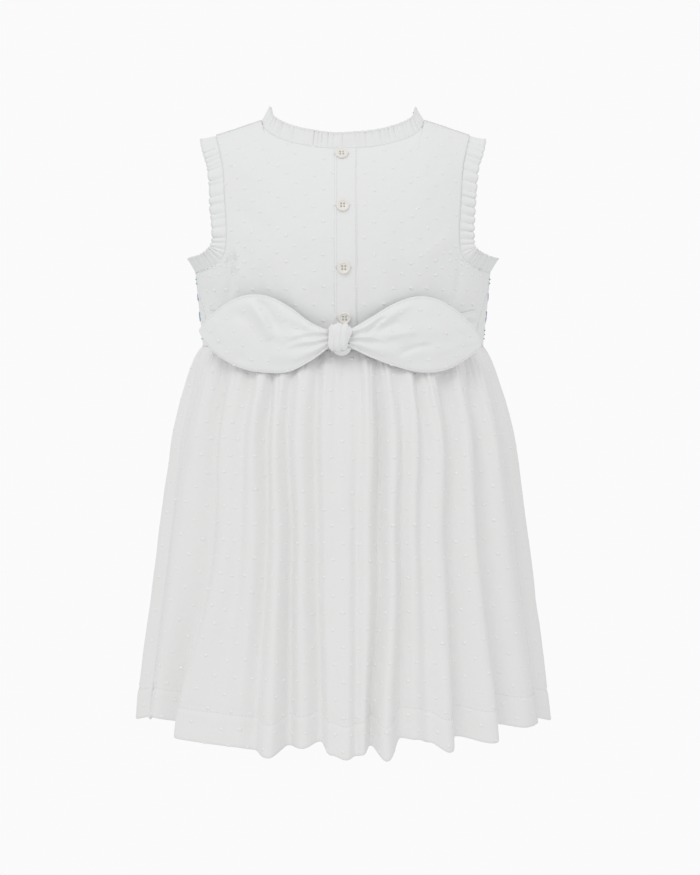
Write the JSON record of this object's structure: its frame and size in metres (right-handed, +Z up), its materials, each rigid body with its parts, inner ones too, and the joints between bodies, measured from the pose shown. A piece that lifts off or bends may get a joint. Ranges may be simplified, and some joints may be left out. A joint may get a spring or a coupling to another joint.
{
  "type": "toddler dress",
  "caption": "Sleeveless toddler dress in dotted cotton with a frilled neck and armholes, a buttoned back opening, a gathered skirt and a sash knotted at the back.",
  "frame": {"origin": "midway between the two points where the shoulder seams meet the neck, where the wearer's shoulders hold the dress", "axes": "+Z up, +X to the right when the back of the dress is seen, +Y out of the front of the dress (the buttoned back faces -Y)"},
  "size_m": [0.3345, 0.2632, 0.4987],
  "materials": {
    "bodice_cotton": "matte dotted cotton voile",
    "frill_cotton": "matte gathered cotton voile",
    "skirt_cotton": "matte dotted cotton voile",
    "sash_cotton": "matte dotted cotton voile, doubled",
    "button_shell": "pearly, cream"
  },
  "bodies": {
    "root": {"bodice_back_left": "bodice_cotton", "bodice_back_right": "bodice_cotton", "bodice_front": "bodice_cotton", "placket_buttonhole_band": "bodice_cotton", "placket_button_band": "bodice_cotton", "neck_frill": "frill_cotton", "armhole_frill_left": "frill_cotton", "armhole_frill_right": "frill_cotton", "skirt_back": "skirt_cotton", "skirt_front": "skirt_cotton", "sash_strap_left": "sash_cotton", "sash_strap_right": "sash_cotton", "sash_end_left": "sash_cotton", "sash_end_right": "sash_cotton", "sash_knot": "sash_cotton", "button_1": "button_shell", "button_2": "button_shell", "button_3": "button_shell", "button_4": "button_shell"}
  },
  "joints": []
}
